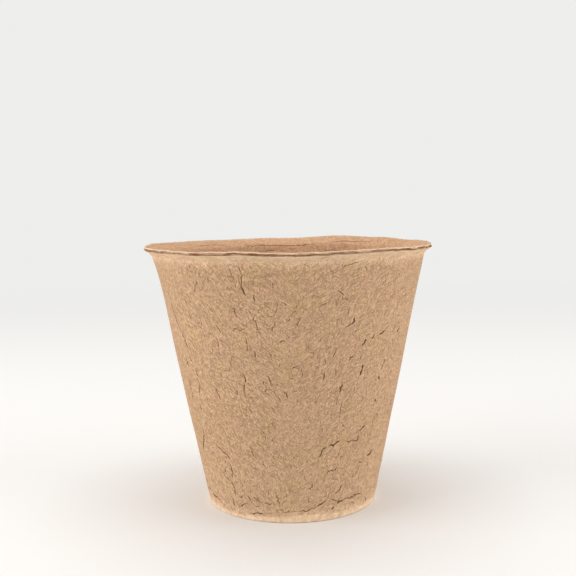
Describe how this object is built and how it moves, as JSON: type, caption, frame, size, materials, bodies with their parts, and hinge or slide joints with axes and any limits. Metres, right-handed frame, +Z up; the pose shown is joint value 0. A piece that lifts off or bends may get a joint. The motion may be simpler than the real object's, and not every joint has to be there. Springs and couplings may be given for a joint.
{
  "type": "moulded pulp plant pot",
  "caption": "Round tapered plant pot of moulded brown pulp with a thin flared lip, a rounded heel and a drained flat floor, for seedlings and small plants.",
  "frame": {"origin": "middle of the underside, on the plane that the pot stands on", "axes": "+Z up along the pot's axis, out of its mouth; X and Y are alike, because the pot is round"},
  "size_m": [0.08, 0.08, 0.0723],
  "materials": {
    "rim_pulp": "matte pressed pulp, darker on the trimmed edge",
    "wall_pulp": "matte felted pulp with short creases and fibre flecks",
    "heel_pulp": "matte, paler and smoother pressed pulp",
    "floor_pulp": "matte felted pulp"
  },
  "bodies": {
    "root": {"flared_rim": "rim_pulp", "side_wall": "wall_pulp", "heel_ring": "heel_pulp", "floor_disc": "floor_pulp"}
  },
  "joints": []
}
